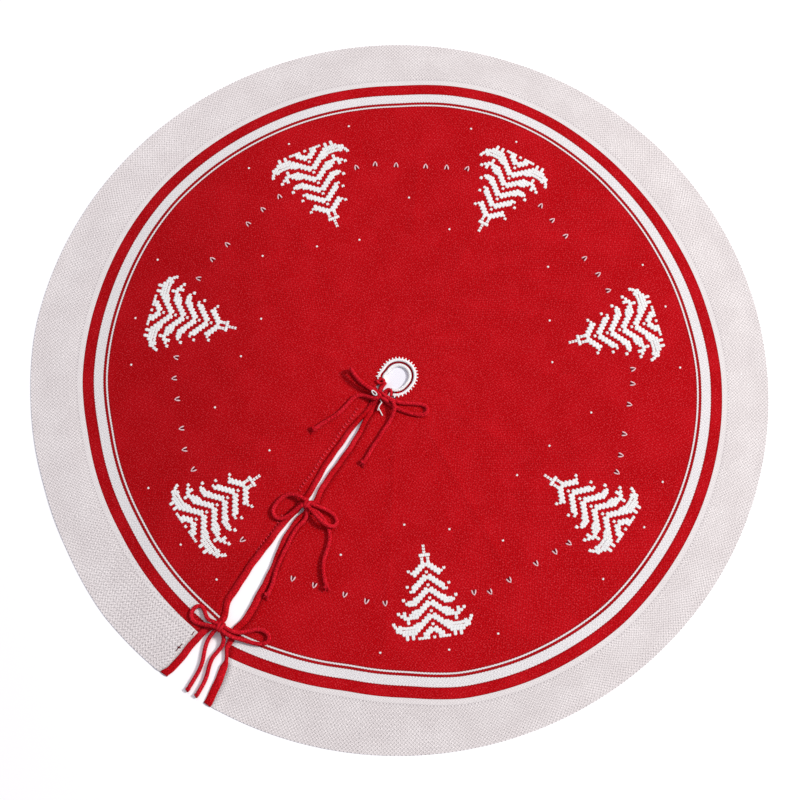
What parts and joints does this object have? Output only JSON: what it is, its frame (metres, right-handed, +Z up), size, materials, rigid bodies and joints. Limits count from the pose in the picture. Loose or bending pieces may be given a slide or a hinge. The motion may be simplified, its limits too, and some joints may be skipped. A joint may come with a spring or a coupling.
{
  "type": "tree skirt",
  "caption": "Round knitted floor skirt that goes round a tree's trunk, with a slit closed by tied cord bows, a fair-isle tree ring and a plain border.",
  "frame": {"origin": "centre of the trunk hole, on the floor face of the cloth", "axes": "+Z up, away from the floor; the slit runs from the hole to the hem along -Y; +X to the right seen from above with the slit towards the viewer"},
  "size_m": [1.22, 1.2194, 0.0224],
  "materials": {
    "red_knit": "matt fine knit with white stripes and trees knitted in",
    "cream_knit": "matt fine knit",
    "white_knit": "matt ribbed knit with one red line",
    "red_binding": "matt folded knit strip",
    "red_cord": "matt knitted i-cord",
    "tack_yarn": "matt yarn"
  },
  "bodies": {
    "skirt": {"gore_01": "red_knit", "gore_02": "red_knit", "gore_03": "red_knit", "gore_04": "red_knit", "gore_05": "red_knit", "gore_06": "red_knit", "gore_07": "red_knit", "gore_08": "red_knit", "gore_09": "red_knit", "gore_10": "red_knit", "gore_11": "red_knit", "gore_12": "red_knit", "gore_13": "red_knit", "gore_14": "red_knit", "border_02": "cream_knit", "border_03": "cream_knit", "border_04": "cream_knit", "border_05": "cream_knit", "border_06": "cream_knit", "border_07": "cream_knit", "border_08": "cream_knit", "border_09": "cream_knit", "border_10": "cream_knit", "border_11": "cream_knit", "border_12": "cream_knit", "border_13": "cream_knit", "collar": "white_knit", "binding_left": "red_binding", "binding_right": "red_binding", "bow_1_left_tie": "red_cord", "bow_1_right_tie": "red_cord", "bow_1_knot": "red_cord", "bow_1_left_end_knot": "red_cord", "bow_1_right_end_knot": "red_cord", "bow_2_left_tie": "red_cord", "bow_2_right_tie": "red_cord", "bow_2_knot": "red_cord", "bow_2_left_end_knot": "red_cord", "bow_2_right_end_knot": "red_cord"},
    "front_hem": {"front_field_left": "red_knit", "front_field_right": "red_knit", "border_01": "cream_knit", "border_14": "cream_knit", "border_02_front": "cream_knit", "border_13_front": "cream_knit", "front_binding_left": "red_binding", "front_binding_right": "red_binding", "bow_3_left_tie": "red_cord", "bow_3_right_tie": "red_cord", "bow_3_knot": "red_cord", "bow_3_left_end_knot": "red_cord", "bow_3_right_end_knot": "red_cord", "tack_stitches": "tack_yarn"}
  },
  "joints": [
    {"name": "front_hem_fold", "type": "hinge", "parent": "skirt", "child": "front_hem", "pos_m": [0, -0.44725, 0.005], "axis": [-1, 0, 0], "range_deg": [0, 120]}
  ]
}
